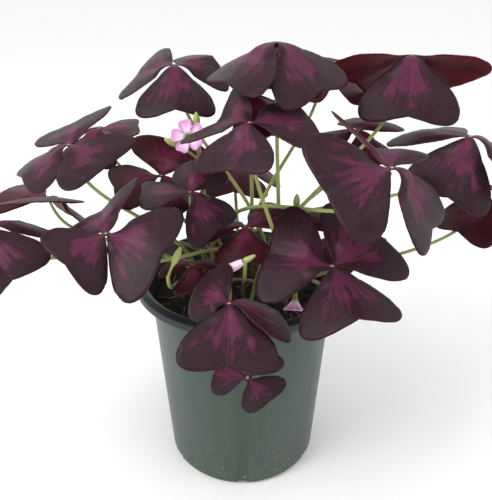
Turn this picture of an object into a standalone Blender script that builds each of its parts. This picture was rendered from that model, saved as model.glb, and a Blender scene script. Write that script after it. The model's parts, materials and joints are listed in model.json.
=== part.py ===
"""A potted purple shamrock: leaves of three folded leaflets on bare green stalks, a few small
pink flowers, and the round thin-walled nursery pot that they grow in.

Run it with: blender --background --python part.py
Metres, +Z up. The origin is the middle of the pot's underside, and the front of the plant faces -Y.
"""

import math
from typing import NamedTuple

import bmesh
import bpy
from mathutils import Matrix, Vector
from mathutils.bvhtree import BVHTree

# Driving dimensions, in metres.
MM = 0.001
GAP = 0.3 * MM

POT_HEIGHT = 120 * MM
RIM_RADIUS = 60 * MM
MOUTH_RADIUS = 53 * MM
SHOULDER_RADIUS = 51.5 * MM
BASE_RADIUS = 44.5 * MM
POT_WALL = 1.4 * MM
POT_FLOOR = 1.8 * MM
RIM_DEPTH = 5 * MM
POT_SIDES = 40
NOTCHES = 6
NOTCH_RADIUS = 5 * MM

SOIL_LEVEL = 106 * MM
SOIL_CROWN = 2.5 * MM
ROOT_DEPTH = 10 * MM

BLADE_THICKNESS = 0.7 * MM
LEAFLET_LENGTH = 36 * MM
HUB_RADIUS = 2.2 * MM
STALK_RADIUS = 1.25 * MM
STALK_TIP_RADIUS = 0.85 * MM
STALK_STEPS = 8
STALK_CLEARANCE = 0.4 * MM

PETAL_THICKNESS = 0.7 * MM


class Leaflet(NamedTuple):
    """How one leaflet stands at the hub, in degrees.

    azimuth is 0 to the right (+X) and 90 to the back (+Y), rise is above level, roll lifts the
    wing on the left as seen from the hub, fold lowers both wings and curl bends the tip down.
    size is the leaflet's own, as a share of the leaf's.
    """

    azimuth: float
    rise: float
    roll: float = 0.0
    fold: float = 18.0
    curl: float = 18.0
    size: float = 1.0


class Leaf(NamedTuple):
    """One leaf: where its hub is, in millimetres, its size, its three leaflets, and the degrees
    by which the whole leaf is tipped forward.
    """

    hub: tuple
    size: float
    leaflets: tuple
    tip: float = 0.0


LEAVES = [
    # 1 top left
    Leaf((-37, 38, 228), 0.95,
         (Leaflet(-85, -30, 0, 15, size=1.05), Leaflet(150, -10, -25, 0), Leaflet(45, 10, 20, 25))),
    # 2 top middle
    Leaf((17, -6, 246), 1.05,
         (Leaflet(210, -20, 0, 10), Leaflet(-40, -30, 10, 5), Leaflet(80, -45, 10, 0))),
    # 3 top right
    Leaf((88, 20, 236), 1.1,
         (Leaflet(-100, -40, 0, 5, size=1.05), Leaflet(145, -25, 30, 0), Leaflet(25, -25, -30, 0))),
    # 4 right
    Leaf((115, -8, 201), 1.1,
         (Leaflet(-120, -40, -25, 15), Leaflet(0, -20, 10, 10), Leaflet(130, 0, 0, 5))),
    # 5 middle right
    Leaf((64, -62, 203), 1.05,
         (Leaflet(210, -5, -40, 0), Leaflet(95, 5, 25, -15), Leaflet(-20, -45, 10, 0))),
    # 6 middle
    Leaf((4, -38, 216), 0.95,
         (Leaflet(245, -30, 10, 0, size=0.9), Leaflet(15, 10, 15, 10, size=0.95),
          Leaflet(125, -5, -35, -15))),
    # 7 left
    Leaf((-86, -12, 198), 0.9,
         (Leaflet(-40, -5, 20, 0), Leaflet(100, 15, -25, 0), Leaflet(210, -20, 0, 10))),
    # 8 left, low
    Leaf((-104, 0, 165), 0.9,
         (Leaflet(165, 10, 0, 10), Leaflet(275, 25, 0, 5), Leaflet(40, -35, 0, 10))),
    # 9 left front
    Leaf((-60, -61, 172), 0.95,
         (Leaflet(-30, -5, 40, 5), Leaflet(110, 5, -35, -5), Leaflet(235, -10, -40, 15, size=0.8))),
    # 10 far left
    Leaf((-119, -52, 171), 1.05,
         (Leaflet(-50, -35, 40, 20, size=0.9), Leaflet(80, -10, 0, 15), Leaflet(205, -15, 0, 15))),
    # 11 front
    Leaf((-5, -78, 146), 0.85,
         (Leaflet(-90, -30, -5, 0, size=1.1), Leaflet(140, 10, -45, 20, size=0.8), Leaflet(15, -15, -5, 10))),
    # 12 front right
    Leaf((42, -60, 155), 1.05,
         (Leaflet(165, 10, -40, 0, size=0.95), Leaflet(40, 20, 30, 5), Leaflet(-75, -10, 5, 20))),
    # 13 small one hanging over the rim
    Leaf((3, -81, 108), 0.5,
         (Leaflet(-50, 10, 0, 10), Leaflet(170, 5, 0, 10), Leaflet(60, 5, 0, 10)), 75),
    # 14 middle left
    Leaf((-25, -28, 179), 0.75,
         (Leaflet(185, 10, 0, 5), Leaflet(80, 35, 0, 30), Leaflet(-30, -40, 30, 20))),
    # 15 behind 14
    Leaf((-44, 10, 174), 0.85,
         (Leaflet(80, 40, 10, 5), Leaflet(200, 0, -15, 5), Leaflet(-45, -20, 0, 20))),
    # 16 behind 6
    Leaf((5, 12, 217), 0.85,
         (Leaflet(180, -30, 0, 10, size=0.85), Leaflet(-60, -30, 0, 10), Leaflet(65, -15, -5, 10))),
    # 17 behind 5
    Leaf((64, 22, 196), 0.8,
         (Leaflet(180, -5, 0, 10), Leaflet(60, 10, 0, 10), Leaflet(-60, -25, 0, 15))),
    # 18 right edge
    Leaf((142, 22, 162), 1.0,
         (Leaflet(210, -40, 0, 10), Leaflet(95, -5, 0, 15), Leaflet(-25, -30, 0, 15))),
    # 19 middle, low
    Leaf((2, -22, 158), 0.7,
         (Leaflet(30, 25, 0, 10), Leaflet(150, 0, 0, 15), Leaflet(270, -20, 0, 15))),
    # 20 behind 12
    Leaf((54, -6, 146), 0.8,
         (Leaflet(110, 20, 0, 10), Leaflet(-10, 0, 0, 15), Leaflet(230, -5, 0, 15))),
    # 21 young one over the soil
    Leaf((-25, -30, 140), 0.5,
         (Leaflet(30, 0, -10, 10), Leaflet(-80, -25, 0, 20), Leaflet(150, 0, 0, 15))),
    # 22 behind 7
    Leaf((-84, 48, 190), 0.85,
         (Leaflet(10, 10, 0, 5, size=0.85), Leaflet(250, -20, 0, 15), Leaflet(130, -10, 0, 15))),
    # 23 behind 2
    Leaf((48, 56, 228), 1.0,
         (Leaflet(-20, -25, 0, 10), Leaflet(100, 0, 0, 10), Leaflet(215, -15, 0, 15))),
    # 24 back
    Leaf((-5, 62, 165), 0.9,
         (Leaflet(30, -15, 0, 15), Leaflet(150, -15, 0, 15), Leaflet(270, -15, 0, 15))),
]


class Flower(NamedTuple):
    """One flower or bud: its two ends in millimetres and the radius it opens to (0 for a bud)."""

    base: tuple
    tip: tuple
    radius: float = 0.0


class Umbel(NamedTuple):
    """A flower stalk: where it forks, in millimetres, and the flowers on its branches."""

    fork: tuple
    flowers: tuple


UMBELS = [
    # 1 the open flower and two buds in the gap on the left
    Umbel((-21, 2, 186), (
        Flower((-26, 5, 195), (-27.5, -3, 200), 9),
        Flower((-23, 3, 203), (-23, 2, 211)),
        Flower((-33, 3, 193), (-40, 2, 197)),
    )),
    # 2 the upright bud
    Umbel((28, -6, 158), (Flower((29, -8, 162), (29, -10, 171)),)),
    # 3 the closed flower that points down and left
    Umbel((2, -48, 152), (Flower((6.5, -54, 157.5), (-13, -54, 146), 2.4),)),
    # 4 the half-open flower by the rim
    Umbel((29, -42, 142), (Flower((27, -46, 138), (26, -53, 127), 5.5),)),
    # 5 the bud on the left, over the soil
    Umbel((-36, -46, 142), (Flower((-33, -45, 148), (-29, -44, 157)),)),
]

# Across half a leaflet, from the rib to the side: share of the side's angle, and reach of the edge.
EDGE = ((0.0, 0.86), (0.30, 0.92), (0.72, 1.05), (1.0, 0.89))
ROWS = (0.0, 0.32, 0.70, 1.0)
SIDE_ANGLES = (38.0, 53.0, 54.0, 52.0)


class Material(NamedTuple):
    """A plain surface: colour as linear red, green and blue, roughness and metallic value."""

    colour: tuple
    roughness: float
    metallic: float = 0.0


POT_GREEN = Material((0.075, 0.125, 0.095), 0.45)
SOIL_BROWN = Material((0.012, 0.010, 0.009), 0.95)
LEAF_PURPLE = Material((0.085, 0.028, 0.048), 0.55)
STALK_GREEN = Material((0.33, 0.38, 0.13), 0.50)
PETAL_PINK = Material((0.78, 0.47, 0.72), 0.55)


def clear_scene():
    """Removes whatever the start-up scene holds."""
    for obj in list(bpy.data.objects):
        bpy.data.objects.remove(obj)


def add_collection(name):
    """A new collection in the scene."""
    collection = bpy.data.collections.new(name)
    bpy.context.scene.collection.children.link(collection)
    return collection


def add_object(name, mesh, material, collection, location=(0.0, 0.0, 0.0)):
    """Puts a mesh in the scene as a named object with a material of its own."""
    obj = bpy.data.objects.new(name, mesh)
    collection.objects.link(obj)
    obj.location = location
    mesh.materials.append(make_material(name, material))
    return obj


def make_material(name, material):
    """A Principled material from the plain values."""
    result = bpy.data.materials.new(name)
    result.use_nodes = True
    shader = result.node_tree.nodes["Principled BSDF"]
    shader.inputs["Base Color"].default_value = (*material.colour, 1.0)
    shader.inputs["Roughness"].default_value = material.roughness
    shader.inputs["Metallic"].default_value = material.metallic
    return result


def mesh_from(bm, name):
    """Turns a bmesh into a mesh with its faces outwards and frees the bmesh."""
    bmesh.ops.recalc_face_normals(bm, faces=bm.faces[:])
    mesh = bpy.data.meshes.new(name)
    bm.to_mesh(mesh)
    bm.free()
    return mesh


def evaluated_mesh(obj):
    """The object's mesh with its modifiers done."""
    bpy.context.view_layer.update()
    graph = bpy.context.evaluated_depsgraph_get()
    return bpy.data.meshes.new_from_object(obj.evaluated_get(graph))


def add_cut(obj, cutter, collection):
    """Cuts one object out of another and keeps the cutter out of the picture."""
    collection.objects.link(cutter)
    cutter.hide_render = True
    cutter.display_type = "WIRE"
    cut = obj.modifiers.new("cut", "BOOLEAN")
    cut.object = cutter
    cut.operation = "DIFFERENCE"
    cut.solver = "EXACT"


def arc(start_angle, end_angle, distance, span):
    """Where a strip lies that turns evenly from one angle to another over span, after distance."""
    turn = (end_angle - start_angle) / span
    if abs(turn) < 1e-6:
        return distance * math.cos(start_angle), distance * math.sin(start_angle)
    here = start_angle + turn * distance
    along = (math.sin(here) - math.sin(start_angle)) / turn
    up = (math.cos(start_angle) - math.cos(here)) / turn
    return along, up


# A flower's outline: share of the way from base to tip, and radius in millimetres.
BRANCH_RADIUS = 0.6 * MM
BUD = ((-0.02, 0.6), (0.15, 1.7), (0.5, 2.2), (0.8, 1.5), (1.0, 0.4))
CUP = ((-0.02, 0.6), (0.08, 1.2), (0.2, 1.7), (0.26, 1.6))
CLOSED = ((0.29, 1.7), (0.45, 2.3), (0.75, 2.1), (0.93, 1.3), (1.0, 0.5))
# An open flower's funnel: share of the way, and share of its radius; and one petal's rim: the share
# of a petal's turn, and the reach there.
FUNNEL = ((0.34, 0.12), (0.62, 0.24), (0.86, 0.62), (1.0, 1.0))
PETAL = ((0.0, 0.45), (0.1, 0.88), (0.35, 1.0), (0.65, 1.0), (0.9, 0.88))


def closing(leaflet):
    """The degrees by which a steep leaflet's sides draw in, so that they miss the next leaflet's."""
    steep = max(0.0, -leaflet.rise - 10.0)
    return 0.28 * steep + 0.12 * max(0.0, leaflet.fold)


def leaflet_point(leaflet, length, across, row):
    """A point of the leaflet's middle surface, in the frame where it points along +X.

    across runs from -3 at the right side to 3 at the left side by the steps of EDGE, and row
    from 0 at the hub to 3 at the far edge by the steps of ROWS.
    """
    share, reach = EDGE[abs(across)]
    out = ROWS[row]
    side = math.radians(SIDE_ANGLES[row] - closing(leaflet) * out) * share
    radius = HUB_RADIUS + out * (reach * length - HUB_RADIUS)
    along = radius * math.cos(side)
    sideways = radius * math.sin(side)
    opened = min(1.0, out * 3.0)
    fold = -math.radians(leaflet.fold) * opened
    sideways, drop = arc(fold, fold * 1.5, sideways, length)
    rise = math.radians(leaflet.rise) * opened
    forward, height = arc(rise, rise - math.radians(leaflet.curl), along, length)
    here = rise - math.radians(leaflet.curl) * along / length
    forward -= drop * math.sin(here)
    height += drop * math.cos(here)
    left = sideways if across > 0 else -sideways
    roll = Matrix.Rotation(
        math.radians(leaflet.roll) * opened, 4, Vector((math.cos(rise), 0, math.sin(rise)))
    )
    return roll @ Vector((forward, left, height))


def leaf_mesh(leaf):
    """The open middle surface of a leaf: three leaflets joined round a small hub."""
    bm = bmesh.new()
    half = len(EDGE) - 1
    last = len(ROWS) - 1
    ring = []
    for leaflet in sorted(leaf.leaflets, key=lambda one: one.azimuth % 360):
        length = LEAFLET_LENGTH * leaf.size * leaflet.size
        turn = Matrix.Rotation(math.radians(leaflet.azimuth), 4, "Z")
        grid = bmesh.ops.create_grid(bm, x_segments=2 * half, y_segments=last, size=1.0)["verts"]
        near = {}
        for vert in grid:
            across = -round(vert.co.x * half)
            row = round((vert.co.y + 1.0) / 2.0 * last)
            vert.co = turn @ leaflet_point(leaflet, length, across, row)
            if row == 0:
                near[across] = vert
        ring += [near[across] for across in sorted(near)]
    bm.faces.new(ring)
    bmesh.ops.triangulate(bm, faces=bm.faces[:])
    mesh = bpy.data.meshes.new("leaf")
    bm.to_mesh(mesh)
    bm.free()
    return mesh


def add_leaf(number, leaf, collection):
    """One leaf's three purple leaflets, as one thin solid placed at its hub."""
    hub = Vector(leaf.hub) * MM
    obj = add_object(f"leaf_{number:02d}", leaf_mesh(leaf), LEAF_PURPLE, collection, hub)
    obj.rotation_euler.x = math.radians(leaf.tip)
    obj.data.shade_smooth()
    solidify = obj.modifiers.new("thickness", "SOLIDIFY")
    solidify.thickness = BLADE_THICKNESS
    solidify.offset = 0.0
    return obj


def add_pot(collection, cutters):
    """The pot: a wall in section turned round the Z axis, with notches cut at its foot to drain."""
    top = POT_HEIGHT
    section = [
        (0.0, POT_FLOOR),
        (BASE_RADIUS - POT_WALL, POT_FLOOR),
        (SHOULDER_RADIUS - POT_WALL, top - 13 * MM),
        (MOUTH_RADIUS - POT_WALL, top - 6 * MM),
        (MOUTH_RADIUS + 1.5 * MM, top - 0.8 * MM),
        (MOUTH_RADIUS + 3.5 * MM, top),
        (RIM_RADIUS - 2 * MM, top - 0.8 * MM),
        (RIM_RADIUS, top - 2.5 * MM),
        (RIM_RADIUS, top - RIM_DEPTH),
        (RIM_RADIUS - 1.5 * MM, top - RIM_DEPTH),
        (RIM_RADIUS - 3 * MM, top - 3 * MM),
        (MOUTH_RADIUS + 2 * MM, top - 3 * MM),
        (SHOULDER_RADIUS, top - 12 * MM),
        (BASE_RADIUS, 3 * MM),
        (BASE_RADIUS - 2 * MM, 0.0),
        (0.0, 0.0),
    ]
    pot = add_object("pot", turned_outline(section), POT_GREEN, collection)
    turn_round(pot)
    add_cut(pot, notch_cutter(), cutters)
    return pot


def turned_outline(section):
    """A section as a chain of edges, ready to be turned."""
    bm = bmesh.new()
    verts = [bm.verts.new((x, 0, z)) for x, z in section]
    for a, b in zip(verts, verts[1:]):
        bm.edges.new((a, b))
    mesh = bpy.data.meshes.new("section")
    bm.to_mesh(mesh)
    bm.free()
    return mesh


def turn_round(obj):
    """Turns the object's section round the Z axis into a closed solid."""
    screw = obj.modifiers.new("turn", "SCREW")
    screw.steps = screw.render_steps = POT_SIDES
    screw.use_merge_vertices = True
    screw.merge_threshold = 0.0001
    screw.use_normal_calculate = True


def notch_cutter():
    """Short upright pegs round the pot's foot, which cut the drain notches."""
    bm = bmesh.new()
    for number in range(NOTCHES):
        angle = 2 * math.pi * (number + 0.5) / NOTCHES
        place = Matrix.Rotation(angle, 4, "Z") @ Matrix.Translation((BASE_RADIUS, 0, 0))
        bmesh.ops.create_cone(
            bm, cap_ends=True, segments=12, radius1=NOTCH_RADIUS, radius2=NOTCH_RADIUS * 0.7,
            depth=8 * MM, matrix=place,
        )
    mesh = bpy.data.meshes.new("notches")
    bm.to_mesh(mesh)
    bm.free()
    return bpy.data.objects.new("notches", mesh)


def bezier(a, b, c, d, t):
    """A point of a cubic curve."""
    s = 1.0 - t
    return a * s**3 + b * (3 * s * s * t) + c * (3 * s * t * t) + d * t**3


def soil_height(x, y):
    """The height of the soil's crown at a place."""
    inner = SHOULDER_RADIUS - POT_WALL - GAP
    return SOIL_LEVEL + SOIL_CROWN * (1.0 - min(1.0, math.hypot(x, y) / inner) ** 2)


def inner_radius(height):
    """The radius of the pot's inside at a height below its shoulder."""
    share = (height - POT_FLOOR) / (POT_HEIGHT - 13 * MM - POT_FLOOR)
    return BASE_RADIUS - POT_WALL + share * (SHOULDER_RADIUS - BASE_RADIUS)


def add_soil(collection, roots, cutters):
    """The soil that fills the pot, a little crowned, with a plain hole for every stalk."""
    floor = POT_FLOOR + GAP
    edge = inner_radius(SOIL_LEVEL) - GAP
    section = [(0.0, floor), (inner_radius(floor) - GAP, floor), (edge, SOIL_LEVEL)]
    for share in (0.8, 0.5, 0.2):
        section.append((edge * share, soil_height(edge * share, 0.0)))
    section.append((0.0, soil_height(0.0, 0.0)))
    soil = add_object("soil", turned_outline(section), SOIL_BROWN, collection)
    turn_round(soil)
    add_cut(soil, hole_cutter(roots), cutters)
    return soil


def hole_cutter(roots):
    """Upright pegs where the stalks stand, a gap wider and deeper than they are."""
    bm = bmesh.new()
    for x, y in roots:
        bottom = soil_height(x, y) - ROOT_DEPTH - GAP
        top = SOIL_LEVEL + SOIL_CROWN + 2 * MM
        bmesh.ops.create_cone(
            bm, cap_ends=True, segments=8, radius1=STALK_RADIUS + 2 * GAP,
            radius2=STALK_RADIUS + 2 * GAP, depth=top - bottom,
            matrix=Matrix.Translation((x, y, (top + bottom) / 2)),
        )
    mesh = bpy.data.meshes.new("stalk_holes")
    bm.to_mesh(mesh)
    bm.free()
    return bpy.data.objects.new("stalk_holes", mesh)


def stalk_route(root, end, facing, lean):
    """A stalk's middle line: straight down in the soil, upright out of it, then over to the end."""
    ground = Vector((root[0], root[1], soil_height(*root)))
    span = (end - ground).length
    low = ground + Vector((0, 0, span * lean))
    high = end - facing * span * 0.35
    points = [ground - Vector((0, 0, ROOT_DEPTH))]
    points += [bezier(ground, low, high, end, step / STALK_STEPS) for step in range(STALK_STEPS + 1)]
    return points


def rod_curve(name, points, radii, resolution=1):
    """A round rod along points, as a curve with filled caps and a radius of its own at each point."""
    curve = bpy.data.curves.new(name, "CURVE")
    curve.dimensions = "3D"
    curve.bevel_depth = MM
    curve.bevel_resolution = resolution
    curve.use_fill_caps = True
    spline = curve.splines.new("POLY")
    spline.points.add(len(points) - 1)
    for place, point, radius in zip(spline.points, points, radii):
        place.co = (*point, 1.0)
        place.radius = radius / MM
    spline.use_smooth = True
    return curve


def add_rod(bm, points, radii, resolution=1):
    """Adds the same rod to a bmesh, its caps welded, so that it can be joined to others."""
    obj = bpy.data.objects.new("rod", rod_curve("rod", points, radii, resolution))
    bpy.context.scene.collection.objects.link(obj)
    mesh = evaluated_mesh(obj)
    bpy.data.objects.remove(obj)
    bm.from_mesh(mesh)
    bpy.data.meshes.remove(mesh)
    bmesh.ops.remove_doubles(bm, verts=bm.verts[:], dist=0.001 * MM)


def along(flower, share):
    """A point on the line from a flower's base to its tip."""
    return (Vector(flower.base) + (Vector(flower.tip) - Vector(flower.base)) * share) * MM


def head_mesh(umbel):
    """The umbel's branches with their buds and green cups, as closed rods that run into each other."""
    bm = bmesh.new()
    start = Vector(umbel.fork) * MM - Vector((0, 0, 1.0 * MM))
    for flower in umbel.flowers:
        base = along(flower, 0.0)
        middle = (start + base) / 2 + Vector((0, 0, 0.6 * MM))
        inside = along(flower, 0.05)
        add_rod(bm, [start, middle, inside], [BRANCH_RADIUS] * 3)
        stops = CUP if flower.radius else BUD
        add_rod(bm, [along(flower, share) for share, _ in stops], [radius * MM for _, radius in stops])
    return mesh_from(bm, "head")


def bloom_frame(flower):
    """Turns +Z into the way that a flower points."""
    way = along(flower, 1.0) - along(flower, 0.0)
    turn = way.to_track_quat("Z", "Y").to_matrix().to_4x4()
    return Matrix.Translation(along(flower, 0.0)) @ turn, way.length


def open_bloom_mesh(flower, place, length):
    """The middle surface of five petals that join in a funnel, with the funnel's small end filled."""
    bm = bmesh.new()
    columns = 5 * len(PETAL)
    last = len(FUNNEL) - 1
    for vert in bmesh.ops.create_grid(bm, x_segments=columns, y_segments=last, size=1.0)["verts"]:
        petal, part = divmod(round((vert.co.x + 1.0) / 2.0 * columns) % columns, len(PETAL))
        turn, reach = PETAL[part]
        share, spread = FUNNEL[round((vert.co.y + 1.0) / 2.0 * last)]
        angle = 2 * math.pi * (petal + turn) / 5
        radius = flower.radius * MM * spread * (reach if spread > 0.5 else 1.0)
        vert.co = (radius * math.cos(angle), radius * math.sin(angle), length * share)
    bmesh.ops.remove_doubles(bm, verts=bm.verts[:], dist=0.001 * MM)
    lowest = length * (FUNNEL[0][0] + FUNNEL[1][0]) / 2
    throat = [edge for edge in bm.edges if edge.is_boundary and edge.verts[0].co.z < lowest]
    bmesh.ops.edgeloop_fill(bm, edges=throat)
    bmesh.ops.triangulate(bm, faces=bm.faces[:])
    bm.transform(place)
    return mesh_from(bm, "bloom")


def add_bloom(number, flower, collection):
    """The five pink petals of one flower as one thin solid, open like a funnel or still closed."""
    name = f"bloom_{number}"
    if flower.radius < 4.0:
        points = [along(flower, share) for share, _ in CLOSED]
        curve = rod_curve(name, points, [radius * MM for _, radius in CLOSED], resolution=2)
        return add_object(name, curve, PETAL_PINK, collection)
    place, length = bloom_frame(flower)
    bloom = add_object(name, open_bloom_mesh(flower, place, length), PETAL_PINK, collection)
    bloom.data.shade_smooth()
    solidify = bloom.modifiers.new("thickness", "SOLIDIFY")
    solidify.thickness = PETAL_THICKNESS
    solidify.offset = 0.0
    return bloom


def add_scape(number, umbel, routes, collection, cutters):
    """A flower stalk with its branches, buds and cups, fused into one green solid."""
    fork = Vector(umbel.fork) * MM
    outward = math.degrees(math.atan2(fork.y, fork.x))
    route = routes.find(fork, arrivals_at((outward, outward + 90, outward - 90, outward + 180)))
    bm = bmesh.new()
    add_rod(bm, route, stalk_radii(route))
    scape = add_object(f"scape_{number}", mesh_from(bm, "scape"), STALK_GREEN, collection)
    scape.data.shade_smooth()
    head = bpy.data.objects.new(f"head_{number}", head_mesh(umbel))
    add_cut(scape, head, cutters)
    scape.modifiers["cut"].operation = "UNION"
    scape.modifiers["cut"].use_self = True
    routes.add([scape])
    return scape


def tree_of(objects):
    """A search tree of the objects' finished faces, in the plant's own place."""
    bm = bmesh.new()
    bpy.context.view_layer.update()
    for obj in objects:
        mesh = evaluated_mesh(obj)
        mesh.transform(obj.matrix_world)
        bm.from_mesh(mesh)
        bpy.data.meshes.remove(mesh)
    tree = BVHTree.FromBMesh(bm, epsilon=0.0)
    bm.free()
    return tree


class Routes:
    """Finds each stalk a way up from the soil that is clear of all that is already there."""

    def __init__(self, objects):
        """Starts with the objects that stand in the way."""
        self.trees = [tree_of(objects)]
        self.roots = []

    def add(self, objects):
        """Puts more objects in the way."""
        self.trees.append(tree_of(objects))

    def candidates(self, end):
        """Places in the soil and leans to try, the most natural first."""
        heading = math.atan2(end.y, end.x)
        for lean in (0.45, 0.3, 0.6, 0.2):
            for reach in (16, 22, 28, 10, 34, 38, 5):
                for turn in (0, 20, -20, 40, -40, 65, -65, 95, -95, 130, -130, 180):
                    angle = heading + math.radians(turn)
                    yield (reach * MM * math.cos(angle), reach * MM * math.sin(angle)), lean

    def free_root(self, root):
        """Whether a place in the soil is far enough from the stalks that stand there."""
        return all(math.dist(root, other) > 5 * MM for other in self.roots)

    def is_clear(self, route):
        """Whether a stalk along the route stays off everything; its end may come near its leaf."""
        end = route[-1]
        for start, stop, radius in zip(route, route[1:], stalk_radii(route)):
            steps = max(1, round((stop - start).length / (1.5 * MM)))
            for step in range(steps):
                point = start.lerp(stop, step / steps)
                reach = min(radius + STALK_CLEARANCE, 0.6 * MM + (end - point).length * 0.35)
                if any(tree.find_nearest(point, reach)[0] for tree in self.trees):
                    return False
        return True

    def find(self, end, arrivals):
        """The first clear middle line to an end; arrivals are ways in which it may come there."""
        for arrival in arrivals:
            for root, lean in self.candidates(end):
                if not self.free_root(root):
                    continue
                route = stalk_route(root, end, arrival, lean)
                if self.is_clear(route):
                    self.roots.append(root)
                    return route
        raise ValueError(f"no clear route to {end}")


def stalk_radii(route):
    """Radii along a stalk: even in the soil, then tapering to the end."""
    last = len(route) - 1
    taper = STALK_TIP_RADIUS - STALK_RADIUS
    return [STALK_RADIUS + taper * max(0, number - 1) / (last - 1) for number in range(last + 1)]


def arrivals_at(azimuths):
    """Ways for a stalk to come in from below: upright, then leaning from each side."""
    ways = [Vector((0, 0, 1))]
    for lean in (25, 45):
        for azimuth in azimuths:
            angle = math.radians(azimuth)
            flat = math.sin(math.radians(lean))
            upward = math.cos(math.radians(lean))
            ways.append(Vector((flat * math.cos(angle), flat * math.sin(angle), upward)))
    return ways


def add_stalk(number, leaf, routes, collection):
    """A leaf's bare green stalk, from its hole in the soil to just under the hub."""
    hub = Vector(leaf.hub) * MM
    facing = Matrix.Rotation(math.radians(leaf.tip), 3, "X") @ Vector((0, 0, 1))
    end = hub - facing * (BLADE_THICKNESS / 2 + GAP + STALK_TIP_RADIUS * 0.8)
    outward = math.degrees(math.atan2(hub.y, hub.x))
    arrivals = arrivals_at((outward, outward + 60, outward - 60, outward + 180))
    if leaf.tip:
        arrivals = [Vector((0, -0.8, -0.6)), Vector((0, -0.7, -0.75)), Vector((0, -0.9, -0.35))]
    route = routes.find(end, arrivals)
    name = f"stalk_{number:02d}"
    stalk = add_object(name, rod_curve(name, route, stalk_radii(route)), STALK_GREEN, collection)
    routes.add([stalk])
    return stalk


def main():
    """Builds the plant and its pot."""
    clear_scene()
    plant = add_collection("purple_shamrock")
    cutters = add_collection("cutters")
    pot = add_pot(plant, cutters)
    leaves = [add_leaf(number, leaf, plant) for number, leaf in enumerate(LEAVES, 1)]
    flowers = [flower for umbel in UMBELS for flower in umbel.flowers if flower.radius]
    blooms = [add_bloom(number, flower, plant) for number, flower in enumerate(flowers, 1)]
    routes = Routes([pot, *leaves, *blooms])
    for number, umbel in enumerate(UMBELS, 1):
        add_scape(number, umbel, routes, plant, cutters)
    for number, leaf in enumerate(LEAVES, 1):
        add_stalk(number, leaf, routes, plant)
    add_soil(plant, routes.roots, cutters)


main()
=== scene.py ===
"""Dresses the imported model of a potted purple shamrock.

Every leaf, stalk, flower, the pot and the soil get a fine piece with a material of its own. The
leaves follow the same rule and the same list of stances as the solids, so each stays in its place.
Metres, +Z up, with the side that the camera sees facing -Y.
"""

from __future__ import annotations

import json
import logging
import math
import random
from dataclasses import dataclass, field
from enum import Enum
from typing import Any, Callable, Sequence

import bmesh
import bpy
from mathutils import Matrix, Vector, noise

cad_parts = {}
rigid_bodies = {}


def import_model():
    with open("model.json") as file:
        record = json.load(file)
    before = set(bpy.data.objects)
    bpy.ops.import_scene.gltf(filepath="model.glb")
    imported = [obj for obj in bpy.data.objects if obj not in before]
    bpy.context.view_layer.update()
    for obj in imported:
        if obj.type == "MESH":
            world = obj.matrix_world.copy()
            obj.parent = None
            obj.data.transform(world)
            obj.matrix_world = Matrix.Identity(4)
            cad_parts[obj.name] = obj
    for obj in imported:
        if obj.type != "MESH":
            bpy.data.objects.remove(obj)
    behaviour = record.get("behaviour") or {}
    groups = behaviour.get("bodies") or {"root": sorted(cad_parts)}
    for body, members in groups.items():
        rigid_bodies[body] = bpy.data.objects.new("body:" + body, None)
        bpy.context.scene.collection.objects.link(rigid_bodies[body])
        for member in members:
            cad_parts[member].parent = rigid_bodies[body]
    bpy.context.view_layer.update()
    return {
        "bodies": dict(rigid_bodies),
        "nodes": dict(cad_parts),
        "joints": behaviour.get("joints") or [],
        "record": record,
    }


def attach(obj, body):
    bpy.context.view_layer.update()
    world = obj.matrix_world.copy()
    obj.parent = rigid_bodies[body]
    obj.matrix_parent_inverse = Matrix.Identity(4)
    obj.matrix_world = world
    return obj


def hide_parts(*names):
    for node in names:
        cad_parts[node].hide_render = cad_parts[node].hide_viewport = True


LOG = logging.getLogger("shamrock")
MM = 0.001

# Side veins on half a leaflet, and how far they lean outwards on their way to the side.
SIDE_VEINS = 9.0
VEIN_LEAN = 0.42

Stops = Sequence[tuple[float, float]]


class Slot(Enum):
    """The material slots that pieces take their finish from."""

    POT = "pot_plastic"
    SOIL = "potting_soil"
    LEAF = "leaf_purple"
    STALK = "stalk_green"
    PETAL = "petal_pink"


def linear(code: str) -> tuple[float, float, float, float]:
    """Turns an sRGB hex colour into linear values.

    Args:
        code: Six hex digits.

    Returns:
        Linear red, green, blue and an alpha of 1.
    """
    parts = [int(code[i:i + 2], 16) / 255.0 for i in (0, 2, 4)]
    red, green, blue = (p / 12.92 if p <= 0.04045 else ((p + 0.055) / 1.055) ** 2.4 for p in parts)
    return red, green, blue, 1.0


def smooth_through(stops: Stops, place: float) -> float:
    """Reads a smooth curve that runs through stops.

    Args:
        stops: Pairs of place and value, in rising order of place.
        place: Where to read the curve.

    Returns:
        The curve's value there.
    """
    last = len(stops) - 1

    def slope(i: int) -> float:
        """The curve's slope at a stop."""
        a, b = stops[max(0, i - 1)], stops[min(last, i + 1)]
        return (b[1] - a[1]) / (b[0] - a[0])

    index = 0
    while index < last - 1 and place > stops[index + 1][0]:
        index += 1
    (x0, y0), (x1, y1) = stops[index], stops[index + 1]
    span = x1 - x0
    t = min(1.0, max(0.0, (place - x0) / span))
    start, end = slope(index) * span, slope(index + 1) * span
    return (
        y0 * (2 * t**3 - 3 * t * t + 1)
        + start * (t**3 - 2 * t * t + t)
        + y1 * (3 * t * t - 2 * t**3)
        + end * (t**3 - t * t)
    )


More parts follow.
